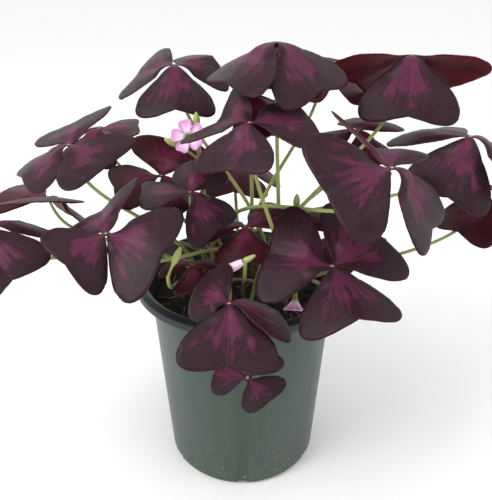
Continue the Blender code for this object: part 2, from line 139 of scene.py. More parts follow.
def add_node(tree: bpy.types.NodeTree, kind: str, settings: dict[str, Any] | None = None,
             inputs: dict[Any, Any] | None = None) -> bpy.types.Node:
    """Adds a shader node with its settings, and links or sets its inputs.

    Args:
        tree: The material's node tree.
        kind: The node's type name.
        settings: Properties of the node.
        inputs: For each input, by name or number, a socket to link or a value to set.

    Returns:
        The node.
    """
    node = tree.nodes.new(kind)
    for name, value in (settings or {}).items():
        setattr(node, name, value)
    for name, value in (inputs or {}).items():
        if isinstance(value, bpy.types.NodeSocket):
            tree.links.new(value, node.inputs[name])
        else:
            node.inputs[name].default_value = value
    return node


def set_ramp(node: bpy.types.Node, stops: Sequence[tuple[float, str]]) -> None:
    """Gives a colour ramp its stops.

    Args:
        node: The ramp node.
        stops: Places from 0 to 1, each with a hex colour.
    """
    ramp = node.color_ramp
    for index, (place, code) in enumerate(stops):
        element = ramp.elements[index] if index < 2 else ramp.elements.new(place)
        element.position = place
        element.color = linear(code)


@dataclass(frozen=True)
class Finish:
    """A surface: its name, roughness and index of refraction."""

    name: str
    roughness: float
    ior: float = 1.45

    def start(self) -> tuple[bpy.types.Material, bpy.types.NodeTree, bpy.types.Node]:
        """Makes the material with its even values set.

        Returns:
            The material, its node tree and its shader.
        """
        material = bpy.data.materials.new(self.name)
        material.use_nodes = True
        tree = material.node_tree
        shader = tree.nodes["Principled BSDF"]
        shader.inputs["Roughness"].default_value = self.roughness
        shader.inputs["IOR"].default_value = self.ior
        return material, tree, shader

    @staticmethod
    def bump(tree: bpy.types.NodeTree, shader: bpy.types.Node, height: bpy.types.NodeSocket,
             depth_mm: float) -> None:
        """Adds fine relief.

        Args:
            tree: The node tree.
            shader: The shader that gets it.
            height: The relief, from 0 to 1.
            depth_mm: How deep it is.
        """
        bump = add_node(tree, "ShaderNodeBump", None,
                        {"Strength": 0.6, "Distance": depth_mm * MM, "Height": height})
        tree.links.new(bump.outputs[0], shader.inputs["Normal"])


@dataclass(frozen=True)
class LeafFinish(Finish):
    """Leaf skin: satin, with side veins that leave the rib, and a lighter wedge on its top."""

    dark: str = "271016"
    cool: str = "2E1A24"
    wedge: str = "5A223F"
    has_wedge: bool = True
    sheen: float = 0.04
    gloss: float = 0.22
    vein_strength: float = 0.06
    vein_relief: float = 0.35
    vein_tone: str = "7A4454"
    sheen_tint: str = "B9C0D4"
    streaks_across: float = 20.0
    streaks_along: float = 2.5
    streaks_between: float = 50.0
    wedge_length: float = 0.80
    wedge_slant: float = 0.3
    wedge_width: float = 0.66
    wedge_fray: float = 1.1
    wedge_strength: float = 0.9

    def build(self) -> bpy.types.Material:
        """Makes the material; its patterns follow the leaflet's own UV map."""
        material, tree, shader = self.start()
        shader.inputs["Specular IOR Level"].default_value = self.gloss
        shader.inputs["Sheen Weight"].default_value = self.sheen
        shader.inputs["Sheen Roughness"].default_value = 0.4
        shader.inputs["Sheen Tint"].default_value = linear(self.sheen_tint)
        uv = add_node(tree, "ShaderNodeUVMap", {"uv_map": "leaflet"})
        split = add_node(tree, "ShaderNodeSeparateXYZ", None, {0: uv.outputs[0]})
        centred = add_node(tree, "ShaderNodeMath", {"operation": "MULTIPLY_ADD"},
                           {0: split.outputs[0], 1: 2.0, 2: -1.0})
        side = add_node(tree, "ShaderNodeMath", {"operation": "ABSOLUTE"}, {0: centred.outputs[0]})
        out = split.outputs[1]
        place = add_node(tree, "ShaderNodeTexCoord")
        # Blotches of about 7 mm, and a grain of about 0.6 mm like the leaf's skin cells.
        blotch = add_node(tree, "ShaderNodeTexNoise", None,
                          {"Vector": place.outputs["Object"], "Scale": 1 / (7 * MM), "Detail": 4.0})
        grain = add_node(tree, "ShaderNodeTexNoise", None,
                         {"Vector": place.outputs["Object"], "Scale": 1 / (0.6 * MM), "Detail": 2.0})
        tone = add_node(tree, "ShaderNodeValToRGB", None, {0: blotch.outputs[0]})
        set_ramp(tone, [(0.35, self.dark), (0.68, self.cool)])
        colour = tone.outputs[0]
        if self.has_wedge:
            # Streaks fan out from the hub, about twenty across a leaflet and long along it.
            across = add_node(tree, "ShaderNodeMath", {"operation": "MULTIPLY"},
                              {0: split.outputs[0], 1: self.streaks_across})
            along = add_node(tree, "ShaderNodeMath", {"operation": "MULTIPLY"},
                             {0: out, 1: self.streaks_along})
            spot = add_node(tree, "ShaderNodeSeparateXYZ", None, {0: place.outputs["Object"]})
            apart = add_node(tree, "ShaderNodeMath", {"operation": "MULTIPLY"},
                             {0: spot.outputs[0], 1: self.streaks_between})
            fan = add_node(tree, "ShaderNodeCombineXYZ", None,
                           {0: across.outputs[0], 1: along.outputs[0], 2: apart.outputs[0]})
            streak = add_node(tree, "ShaderNodeTexNoise", None,
                              {"Vector": fan.outputs[0], "Scale": 1.0, "Detail": 3.0})
            fray = add_node(tree, "ShaderNodeMath", {"operation": "ADD"},
                            {0: blotch.outputs[0], 1: streak.outputs[0]})
            colour = self.add_wedge(tree, colour, side.outputs[0], out, fray.outputs[0])
        lean = add_node(tree, "ShaderNodeMath", {"operation": "MULTIPLY_ADD"},
                        {0: side.outputs[0], 1: -VEIN_LEAN, 2: out})
        lines = add_node(tree, "ShaderNodeMath", {"operation": "MULTIPLY"},
                         {0: lean.outputs[0], 1: SIDE_VEINS})
        wave = add_node(tree, "ShaderNodeMath", {"operation": "PINGPONG"}, {0: lines.outputs[0], 1: 0.5})
        vein = add_node(tree, "ShaderNodeMapRange", {"interpolation_type": "SMOOTHSTEP"},
                        {0: wave.outputs[0], 1: 0.0, 2: 0.09, 3: 1.0, 4: 0.0})
        rib = add_node(tree, "ShaderNodeMapRange", {"interpolation_type": "SMOOTHSTEP"},
                       {0: side.outputs[0], 1: 0.008, 2: 0.035, 3: 1.0, 4: 0.0})
        marks = add_node(tree, "ShaderNodeMath", {"operation": "MAXIMUM"},
                         {0: vein.outputs[0], 1: rib.outputs[0]})
        faint = add_node(tree, "ShaderNodeMath", {"operation": "MULTIPLY"},
                         {0: marks.outputs[0], 1: self.vein_strength})
        veined = add_node(tree, "ShaderNodeMix", {"data_type": "RGBA"},
                          {0: faint.outputs[0], 6: colour, 7: linear(self.vein_tone)})
        tree.links.new(veined.outputs[2], shader.inputs["Base Color"])
        relief = add_node(tree, "ShaderNodeMath", {"operation": "MULTIPLY_ADD"},
                          {0: marks.outputs[0], 1: -self.vein_relief, 2: grain.outputs[0]})
        self.bump(tree, shader, relief.outputs[0], 0.15)
        return material

    def add_wedge(self, tree: bpy.types.NodeTree, colour: bpy.types.NodeSocket,
                  side: bpy.types.NodeSocket, out: bpy.types.NodeSocket,
                  blotch: bpy.types.NodeSocket) -> bpy.types.NodeSocket:
        """Lays the lighter wedge on both sides of the rib.

        Args:
            tree: The node tree.
            colour: The colour under it.
            side: Share of the way from the rib to the side.
            out: Share of the way from the hub to the edge.
            blotch: Blotches and streaks that fray its outline.

        Returns:
            The colour with the wedge.
        """
        slant = add_node(tree, "ShaderNodeMath", {"operation": "MULTIPLY_ADD"},
                         {0: side, 1: self.wedge_slant, 2: out})
        far = add_node(tree, "ShaderNodeMath", {"operation": "SUBTRACT"},
                       {0: slant.outputs[0], 1: self.wedge_length})
        broad = add_node(tree, "ShaderNodeMath", {"operation": "SUBTRACT"},
                         {0: side, 1: self.wedge_width})
        edge = add_node(tree, "ShaderNodeMath", {"operation": "MAXIMUM"},
                        {0: far.outputs[0], 1: broad.outputs[0]})
        frayed = add_node(tree, "ShaderNodeMath", {"operation": "MULTIPLY_ADD"},
                          {0: blotch, 1: self.wedge_fray, 2: edge.outputs[0]})
        mask = add_node(tree, "ShaderNodeMapRange", {"interpolation_type": "SMOOTHSTEP"},
                        {0: frayed.outputs[0], 1: 0.74, 2: 1.16, 3: self.wedge_strength, 4: 0.0})
        mixed = add_node(tree, "ShaderNodeMix", {"data_type": "RGBA"},
                         {0: mask.outputs[0], 6: colour, 7: linear(self.wedge)})
        return mixed.outputs[2]


@dataclass(frozen=True)
class StalkFinish(Finish):
    """Stalk skin: smooth, juicy and yellow-green, browner where it leaves the soil."""

    low: str = "7D6B45"
    high: str = "A3AC63"
    soil_height: float = 112 * MM
    fade: float = 45 * MM

    def build(self) -> bpy.types.Material:
        """Makes the material."""
        material, tree, shader = self.start()
        place = add_node(tree, "ShaderNodeTexCoord")
        split = add_node(tree, "ShaderNodeSeparateXYZ", None, {0: place.outputs["Object"]})
        height = add_node(tree, "ShaderNodeMapRange", None,
                          {0: split.outputs[2], 1: self.soil_height, 2: self.soil_height + self.fade})
        # Slow streaks of about 5 mm change the tone along a stalk.
        streak = add_node(tree, "ShaderNodeTexNoise", None,
                          {"Vector": place.outputs["Object"], "Scale": 1 / (5 * MM), "Detail": 3.0})
        shade = add_node(tree, "ShaderNodeMath", {"operation": "MULTIPLY_ADD"},
                         {0: streak.outputs[0], 1: 0.5, 2: -0.25})
        total = add_node(tree, "ShaderNodeMath", {"operation": "ADD"},
                         {0: height.outputs[0], 1: shade.outputs[0]})
        ramp = add_node(tree, "ShaderNodeValToRGB", None, {0: total.outputs[0]})
        set_ramp(ramp, [(0.0, self.low), (0.9, self.high)])
        tree.links.new(ramp.outputs[0], shader.inputs["Base Color"])
        self.bump(tree, shader, streak.outputs[0], 0.1)
        return material


@dataclass(frozen=True)
class PetalFinish(Finish):
    """Petal tissue: thin and matt, green-yellow in the throat, then white, then pink."""

    throat: str = "6E8A3C"
    pale: str = "F4E4F1"
    pink: str = "D390C7"

    def build(self) -> bpy.types.Material:
        """Makes the material; its colours run along the UV map's second axis."""
        material, tree, shader = self.start()
        shader.inputs["Sheen Weight"].default_value = 0.2
        uv = add_node(tree, "ShaderNodeUVMap", {"uv_map": "leaflet"})
        split = add_node(tree, "ShaderNodeSeparateXYZ", None, {0: uv.outputs[0]})
        ramp = add_node(tree, "ShaderNodeValToRGB", None, {0: split.outputs[1]})
        set_ramp(ramp, [(0.30, self.throat), (0.50, self.pale), (0.92, self.pink)])
        # Fine lines run out along each petal, about ten across it.
        lines = add_node(tree, "ShaderNodeMath", {"operation": "MULTIPLY"}, {0: split.outputs[0], 1: 50.0})
        wave = add_node(tree, "ShaderNodeMath", {"operation": "PINGPONG"}, {0: lines.outputs[0], 1: 0.5})
        tree.links.new(ramp.outputs[0], shader.inputs["Base Color"])
        self.bump(tree, shader, wave.outputs[0], 0.1)
        return material


@dataclass(frozen=True)
class PotFinish(Finish):
    """Thin moulded polypropylene: grey-green, with upright flow marks whose lighter streaks are partly a
    painted sheen, darker at the rim, dusty at the foot.
    """

    body: str = "273B30"
    # Lighter streak tone: flow marks, and partly a painted sheen.
    flow_and_painted_sheen: str = "2C4236"
    rim: str = "121A24"
    dust: str = "A88D62"

    def build(self) -> bpy.types.Material:
        """Makes the material."""
        material, tree, shader = self.start()
        place = add_node(tree, "ShaderNodeTexCoord")
        here = place.outputs["Object"]
        split = add_node(tree, "ShaderNodeSeparateXYZ", None, {0: here})
        # Flow marks from moulding stand upright, about 6 mm apart and many times as long; their lighter
        # streaks are also a painted sheen.
        stretched = add_node(tree, "ShaderNodeMapping", None, {0: here, 3: (1.0, 1.0, 0.12)})
        flow = add_node(tree, "ShaderNodeTexNoise", None,
                        {"Vector": stretched.outputs[0], "Scale": 1 / (6 * MM), "Detail": 5.0})
        ramp = add_node(tree, "ShaderNodeValToRGB", None, {0: flow.outputs[0]})
        set_ramp(ramp, [(0.38, self.body), (0.75, self.flow_and_painted_sheen)])
        upper = add_node(tree, "ShaderNodeMapRange", {"interpolation_type": "SMOOTHSTEP"},
                         {0: split.outputs[2], 1: 109 * MM, 2: 113 * MM})
        rimmed = add_node(tree, "ShaderNodeMix", {"data_type": "RGBA"},
                          {0: upper.outputs[0], 6: ramp.outputs[0], 7: linear(self.rim)})
        # Specks of dried soil under 1 mm lie thickest near the foot.
        specks = add_node(tree, "ShaderNodeTexNoise", None,
                          {"Vector": here, "Scale": 1 / (1.3 * MM), "Detail": 1.0})
        low = add_node(tree, "ShaderNodeMapRange", None,
                       {0: split.outputs[2], 1: 0.0, 2: 40 * MM, 3: 0.11, 4: -0.02})
        sum_up = add_node(tree, "ShaderNodeMath", {"operation": "ADD"},
                          {0: specks.outputs[0], 1: low.outputs[0]})
        dusty = add_node(tree, "ShaderNodeMapRange", {"interpolation_type": "SMOOTHSTEP"},
                         {0: sum_up.outputs[0], 1: 0.76, 2: 0.80})
        final = add_node(tree, "ShaderNodeMix", {"data_type": "RGBA"},
                         {0: dusty.outputs[0], 6: rimmed.outputs[2], 7: linear(self.dust)})
        tree.links.new(final.outputs[2], shader.inputs["Base Color"])
        self.bump(tree, shader, flow.outputs[0], 0.2)
        return material


@dataclass(frozen=True)
class GroundFinish(Finish):
    """Peaty soil, crumbs or root fibre: dull, and mottled between two tones."""

    dark: str = "17130F"
    light: str = "3B3129"
    grain_mm: float = 1.6

    def build(self) -> bpy.types.Material:
        """Makes the material."""
        material, tree, shader = self.start()
        place = add_node(tree, "ShaderNodeTexCoord")
        grain = add_node(tree, "ShaderNodeTexNoise", None,
                         {"Vector": place.outputs["Object"], "Scale": 1 / (self.grain_mm * MM),
                          "Detail": 6.0, "Roughness": 0.7})
        ramp = add_node(tree, "ShaderNodeValToRGB", None, {0: grain.outputs[0]})
        set_ramp(ramp, [(0.42, self.dark), (0.72, self.light)])
        tree.links.new(ramp.outputs[0], shader.inputs["Base Color"])
        self.bump(tree, shader, grain.outputs[0], 0.8)
        return material


LEAF_TOP = LeafFinish("leaf_skin_top", 0.40, 1.42)
# A redder copy of the top skin, between the top's and the underside's tones, for the leaves that show red
# in shade: painted shade.
LEAF_TOP_PAINTED_SHADE = LeafFinish("leaf_skin_painted_shade", 0.42, 1.42, dark="300D15", cool="43131D", wedge="5C1C38")
LEAF_UNDER = LeafFinish("leaf_skin_under", 0.5, 1.42, dark="420D16", cool="601520",
                        has_wedge=False, sheen=0.05)
STALK_SKIN = StalkFinish("stalk_skin", 0.4, 1.4)
PETAL_SKIN = PetalFinish("petal_skin", 0.55, 1.4)
POT_SKIN = PotFinish("moulded_polypropylene", 0.38, 1.49)
SOIL_FACE = GroundFinish("peaty_soil", 0.95)
FIBRE_SKIN = GroundFinish("root_fibre", 0.85, dark="8A7557", light="C3AE8A", grain_mm=3.0)


def finish_piece(name: str, mesh: bpy.types.Mesh, finishes: Sequence[Finish],
                 nodes: Sequence[str] = ()) -> bpy.types.Object:
    """Puts a mesh in the scene as a piece that rides on the plant's one body.

    Args:
        name: The piece's name.
        mesh: Its mesh, already in place.
        finishes: What its material indices stand for.
        nodes: The solids that it stands for.

    Returns:
        The piece.
    """
    piece = bpy.data.objects.new(name, mesh)
    bpy.context.scene.collection.objects.link(piece)
    for finish in finishes:
        mesh.materials.append(bpy.data.materials.get(finish.name) or finish.build())
    mesh.shade_smooth()
    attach(piece, "root")
    if nodes:
        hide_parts(*nodes)
    LOG.info("%s: %d faces", name, len(mesh.polygons))
    return piece


def to_mesh(bm: bmesh.types.BMesh, name: str) -> bpy.types.Mesh:
    """Writes a bmesh to a new mesh and frees it."""
    mesh = bpy.data.meshes.new(name)
    bm.to_mesh(mesh)
    bm.free()
    return mesh


def thicken(piece: bpy.types.Object, thickness: float, other_side: int = 0) -> None:
    """Gives a sheet its thickness.

    Args:
        piece: The sheet.
        thickness: In metres.
        other_side: How far on in the list the far side's material is.
    """
    shell = piece.modifiers.new("thickness", "SOLIDIFY")
    shell.thickness = thickness
    shell.offset = 0.0
    shell.material_offset = other_side
    shell.material_offset_rim = other_side


def arc(start: float, end: float, distance: float, span: float) -> tuple[float, float]:
    """Follows a strip that turns evenly.

    Args:
        start: Its first angle, in radians.
        end: Its angle after span.
        distance: How far along to go.
        span: The length over which it turns.

    Returns:
        How far along and how far up the place is.
    """
    turn = (end - start) / span
    if abs(turn) < 1e-6:
        return distance * math.cos(start), distance * math.sin(start)
    here = start + turn * distance
    return (math.sin(here) - math.sin(start)) / turn, (math.cos(start) - math.cos(here)) / turn


@dataclass(frozen=True)
class Leaflet:
    """How one leaflet stands at the hub, in degrees, and its size as a share of the leaf's."""

    azimuth: float
    rise: float
    roll: float
    fold: float
    size: float = 1.0
    curl: float = 18.0

    def closing(self) -> float:
        """The degrees by which its sides draw in when it hangs steeply."""
        return 0.28 * max(0.0, -self.rise - 10.0) + 0.12 * max(0.0, self.fold)


@dataclass(frozen=True)
class Leaf:
    """One leaf: its hub in millimetres, its size, its leaflets and how far it is tipped forward."""

    hub: tuple[float, float, float]
    size: float
    leaflets: tuple[Leaflet, ...]
    tip: float = 0.0


# The same stances as the solids have, in the same order.
LEAVES = (
    Leaf((-37, 38, 228), 0.95,
         (Leaflet(-85, -30, 0, 15, 1.05), Leaflet(150, -10, -25, 0), Leaflet(45, 10, 20, 25))),
    Leaf((17, -6, 246), 1.05,
         (Leaflet(210, -20, 0, 10), Leaflet(-40, -30, 10, 5), Leaflet(80, -45, 10, 0))),
    Leaf((88, 20, 236), 1.1,
         (Leaflet(-100, -40, 0, 5, 1.05), Leaflet(145, -25, 30, 0), Leaflet(25, -25, -30, 0))),
    Leaf((115, -8, 201), 1.1,
         (Leaflet(-120, -40, -25, 15), Leaflet(0, -20, 10, 10), Leaflet(130, 0, 0, 5))),
    Leaf((64, -62, 203), 1.05,
         (Leaflet(210, -5, -40, 0), Leaflet(95, 5, 25, -15), Leaflet(-20, -45, 10, 0))),
    Leaf((4, -38, 216), 0.95,
         (Leaflet(245, -30, 10, 0, 0.9), Leaflet(15, 10, 15, 10, 0.95), Leaflet(125, -5, -35, -15))),
    Leaf((-86, -12, 198), 0.9,
         (Leaflet(-40, -5, 20, 0), Leaflet(100, 15, -25, 0), Leaflet(210, -20, 0, 10))),
    Leaf((-104, 0, 165), 0.9,
         (Leaflet(165, 10, 0, 10), Leaflet(275, 25, 0, 5), Leaflet(40, -35, 0, 10))),
    Leaf((-60, -61, 172), 0.95,
         (Leaflet(-30, -5, 40, 5), Leaflet(110, 5, -35, -5), Leaflet(235, -10, -40, 15, 0.8))),
    Leaf((-119, -52, 171), 1.05,
         (Leaflet(-50, -35, 40, 20, 0.9), Leaflet(80, -10, 0, 15), Leaflet(205, -15, 0, 15))),
    Leaf((-5, -78, 146), 0.85,
         (Leaflet(-90, -30, -5, 0, 1.1), Leaflet(140, 10, -45, 20, 0.8), Leaflet(15, -15, -5, 10))),
    Leaf((42, -60, 155), 1.05,
         (Leaflet(165, 10, -40, 0, 0.95), Leaflet(40, 20, 30, 5), Leaflet(-75, -10, 5, 20))),
    Leaf((3, -81, 108), 0.5,
         (Leaflet(-50, 10, 0, 10), Leaflet(170, 5, 0, 10), Leaflet(60, 5, 0, 10)), 75),
    Leaf((-25, -28, 179), 0.75,
         (Leaflet(185, 10, 0, 5), Leaflet(80, 35, 0, 30), Leaflet(-30, -40, 30, 20))),
    Leaf((-44, 10, 174), 0.85,
         (Leaflet(80, 40, 10, 5), Leaflet(200, 0, -15, 5), Leaflet(-45, -20, 0, 20))),
    Leaf((5, 12, 217), 0.85,
         (Leaflet(180, -30, 0, 10, 0.85), Leaflet(-60, -30, 0, 10), Leaflet(65, -15, -5, 10))),
    Leaf((64, 22, 196), 0.8,
         (Leaflet(180, -5, 0, 10), Leaflet(60, 10, 0, 10), Leaflet(-60, -25, 0, 15))),
    Leaf((142, 22, 162), 1.0,
         (Leaflet(210, -40, 0, 10), Leaflet(95, -5, 0, 15), Leaflet(-25, -30, 0, 15))),
    Leaf((2, -22, 158), 0.7,
         (Leaflet(30, 25, 0, 10), Leaflet(150, 0, 0, 15), Leaflet(270, -20, 0, 15))),
    Leaf((54, -6, 146), 0.8,
         (Leaflet(110, 20, 0, 10), Leaflet(-10, 0, 0, 15), Leaflet(230, -5, 0, 15))),
    Leaf((-25, -30, 140), 0.5,
         (Leaflet(30, 0, -10, 10), Leaflet(-80, -25, 0, 20), Leaflet(150, 0, 0, 15))),
    Leaf((-84, 48, 190), 0.85,
         (Leaflet(10, 10, 0, 5, 0.85), Leaflet(250, -20, 0, 15), Leaflet(130, -10, 0, 15))),
    Leaf((48, 56, 228), 1.0,
         (Leaflet(-20, -25, 0, 10), Leaflet(100, 0, 0, 10), Leaflet(215, -15, 0, 15))),
    Leaf((-5, 62, 165), 0.9,
         (Leaflet(30, -15, 0, 15), Leaflet(150, -15, 0, 15), Leaflet(270, -15, 0, 15))),
)


@dataclass
class Foliage:
    """All the leaves, each a thin sheet of three leaflets, and the small knobs at their hubs."""

    blade: float = 0.5 * MM
    length: float = 36 * MM
    hub_radius: float = 2.2 * MM
    columns: int = 32
    rows: int = 22
    ripple: float = 0.9 * MM
    vein_depth: float = 0.08 * MM
    knob: float = 1.1 * MM
    bulge: float = 0.7 * MM
    # Leaves that take the redder top skin, a painted shade.
    painted_shade_leaves: tuple[int, ...] = (8, 15, 16, 17, 18, 19, 20, 21, 22, 23, 24)
    edge: Stops = ((0.0, 0.86), (0.06, 0.87), (0.15, 0.887), (0.30, 0.92), (0.50, 0.985),
                   (0.72, 1.045), (0.86, 1.035), (0.95, 0.98), (1.0, 0.89))
    side_angles: Stops = ((0.0, 38.0), (0.32, 53.0), (0.70, 54.0), (0.90, 52.5), (1.0, 49.0))

    def point(self, leaflet: Leaflet, length: float, across: float, out: float) -> Vector:
        """Finds a point of a leaflet's middle surface, with the leaflet along +X.

        Args:
            leaflet: Its stance.
            length: Its length.
            across: From -1 at its right side to 1 at its left.
            out: From 0 at the hub to 1 at its far edge.

        Returns:
            The point.
        """
        share = abs(across)
        reach = smooth_through(self.edge, share)
        angle = smooth_through(self.side_angles, out) - leaflet.closing() * out
        side = math.radians(angle) * share
        radius = self.hub_radius + out * (reach * length - self.hub_radius)
        opened = min(1.0, out * 3.0)
        fold = -math.radians(leaflet.fold) * opened
        sideways, drop = arc(fold, fold * 1.5, radius * math.sin(side), length)
        rise = math.radians(leaflet.rise) * opened
        curl = math.radians(leaflet.curl)
        run = radius * math.cos(side)
        forward, height = arc(rise, rise - curl, run, length)
        here = rise - curl * run / length
        crest = math.cos(2 * math.pi * SIDE_VEINS * (out - VEIN_LEAN * share))
        crease = self.vein_depth * crest * opened
        drop += crease + self.bulge * math.sin(math.pi * share) * opened
        left = math.copysign(sideways, across)
        roll = Matrix.Rotation(math.radians(leaflet.roll) * opened, 4,
                               Vector((math.cos(rise), 0.0, math.sin(rise))))
        return roll @ Vector((forward - drop * math.sin(here), left, height + drop * math.cos(here)))

    def blade_mesh(self, leaf: Leaf, name: str) -> bpy.types.Mesh:
        """Models a leaf's middle surface from three grids and a small middle.

        Args:
            leaf: The leaf.
            name: The mesh's name.

        Returns:
            The mesh, in place, with a UV map of the way across and out.
        """
        bm = bmesh.new()
        place = Matrix.Translation(Vector(leaf.hub) * MM) @ Matrix.Rotation(math.radians(leaf.tip), 4, "X")
        uv_of: dict[bmesh.types.BMVert, tuple[float, float]] = {}
        ring: list[bmesh.types.BMVert] = []
        for leaflet in sorted(leaf.leaflets, key=lambda one: one.azimuth % 360):
            length = self.length * leaf.size * leaflet.size
            turn = place @ Matrix.Rotation(math.radians(leaflet.azimuth), 4, "Z")
            grid = bmesh.ops.create_grid(bm, x_segments=self.columns, y_segments=self.rows, size=1.0)
            near = {}
            for vert in grid["verts"]:
                across, out = -vert.co.x, (vert.co.y + 1.0) / 2.0
                spot = turn @ self.point(leaflet, length, across, out)
                wave = noise.noise(spot * 70.0) * self.ripple * out
                vert.co = spot + Vector((0.0, 0.0, wave))
                uv_of[vert] = ((across + 1.0) / 2.0, out)
                if out < 1e-4:
                    near[across] = vert
            ring += [near[across] for across in sorted(near)]
        middle = bm.faces.new(ring)
        bmesh.ops.triangulate(bm, faces=[middle])
        layer = bm.loops.layers.uv.new("leaflet")
        for face in bm.faces:
            for loop in face.loops:
                loop[layer].uv = uv_of[loop.vert]
        return to_mesh(bm, name)

    def knobs_mesh(self) -> bpy.types.Mesh:
        """Models the small pale knobs where the leaflets meet."""
        bm = bmesh.new()
        for leaf in LEAVES:
            tipped = Matrix.Rotation(math.radians(leaf.tip), 4, "X")
            radius = self.knob * (0.6 + 0.4 * leaf.size)
            place = Matrix.Translation(Vector(leaf.hub) * MM) @ tipped @ Matrix.Diagonal((1, 1, 0.55, 1))
            bmesh.ops.create_icosphere(bm, subdivisions=2, radius=radius, matrix=place)
        return to_mesh(bm, "hub_knobs")

    def build(self) -> None:
        """Makes every leaf and the knobs."""
        for number, leaf in enumerate(LEAVES, 1):
            name = f"leaf_{number:02d}"
            # Leaves that lie in shade take the redder top skin, which paints their shade.
            top = LEAF_TOP_PAINTED_SHADE if number in self.painted_shade_leaves else LEAF_TOP
            piece = finish_piece(f"{name}_blade", self.blade_mesh(leaf, name), (top, LEAF_UNDER),
                                 (name,))
            thicken(piece, self.blade, other_side=1)
        finish_piece("hub_knobs", self.knobs_mesh(), (FIBRE_SKIN,))


@dataclass
class Stems:
    """The stalks of the leaves and of the flowers, rounded from their plain solids."""

    frame: dict[str, Any]
    swell: float = 0.16 * MM
    weld: float = 0.01 * MM
    levels: int = 2

    def rounded_mesh(self, node: bpy.types.Object, name: str) -> bpy.types.Mesh:
        """Copies a solid's mesh, welds it and swells it by what smoothing takes off.

        Args:
            node: The solid.
            name: The new mesh's name.

        Returns:
            The mesh.
        """
        bm = bmesh.new()
        bm.from_mesh(node.data)
        bmesh.ops.remove_doubles(bm, verts=bm.verts[:], dist=self.weld)
        bmesh.ops.join_triangles(bm, faces=bm.faces[:], angle_face_threshold=math.radians(50),
                                 angle_shape_threshold=math.radians(60))
        bm.normal_update()
        for vert in bm.verts:
            vert.co += vert.normal * self.swell
        return to_mesh(bm, name)

    def build(self) -> None:
        """Makes a piece for every stalk."""
        for name in sorted(self.frame["nodes"]):
            if not name.startswith(("stalk_", "scape_")):
                continue
            mesh = self.rounded_mesh(self.frame["nodes"][name], name)
            piece = finish_piece(f"{name}_skin", mesh, (STALK_SKIN,), (name,))
            smooth = piece.modifiers.new("round", "SUBSURF")
            smooth.levels = smooth.render_levels = self.levels


@dataclass(frozen=True)
class Flower:
    """A flower: its two ends in millimetres and the radius that it opens to."""

    base: tuple[float, float, float]
    tip: tuple[float, float, float]
    radius: float

    def frame(self) -> tuple[Matrix, float]:
        """Turns +Z into the way that the flower points.

        Returns:
            The turn and place, and the flower's length.
        """
        way = (Vector(self.tip) - Vector(self.base)) * MM
        turn = way.to_track_quat("Z", "Y").to_matrix().to_4x4()
        return Matrix.Translation(Vector(self.base) * MM) @ turn, way.length


